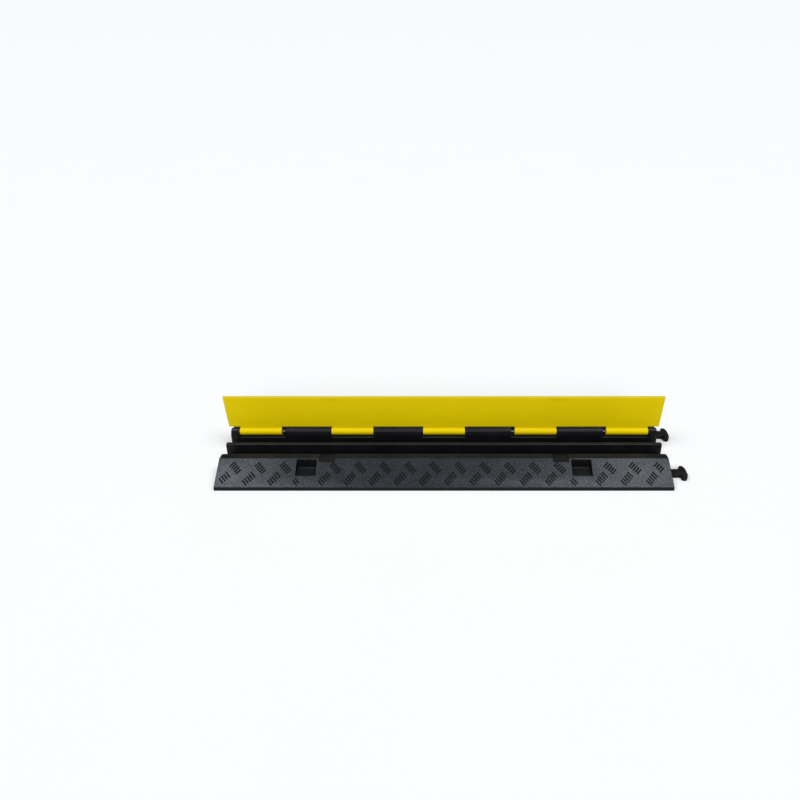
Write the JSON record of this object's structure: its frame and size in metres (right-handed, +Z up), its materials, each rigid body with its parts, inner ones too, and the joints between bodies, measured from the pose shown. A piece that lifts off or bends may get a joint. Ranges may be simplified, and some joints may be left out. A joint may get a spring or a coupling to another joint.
{
  "type": "cable protector",
  "caption": "Moulded rubber ramp with sloped sides, parallel cable channels, end connectors and a hinged lid, shown standing open.",
  "frame": {"origin": "in the underside, midway along the ramp without its connectors and midway between the front and rear edges", "axes": "+X along the ramp towards the end with the connectors, -Y towards the front slope and the finger notches, +Z up"},
  "size_m": [1.041, 0.25, 0.1308],
  "materials": {
    "black_rubber": "fine moulded grain, satin",
    "yellow_plastic": "smooth moulded, satin",
    "steel": "plain drawn rod"
  },
  "bodies": {
    "base": {"base": "black_rubber", "hinge_rod": "steel"},
    "lid": {"lid": "yellow_plastic"}
  },
  "joints": [
    {"name": "lid_hinge", "type": "hinge", "parent": "base", "child": "lid", "pos_m": [0, 0.0355, 0.0415], "axis": [1, 0, 0], "range_deg": [0, 94]}
  ]
}
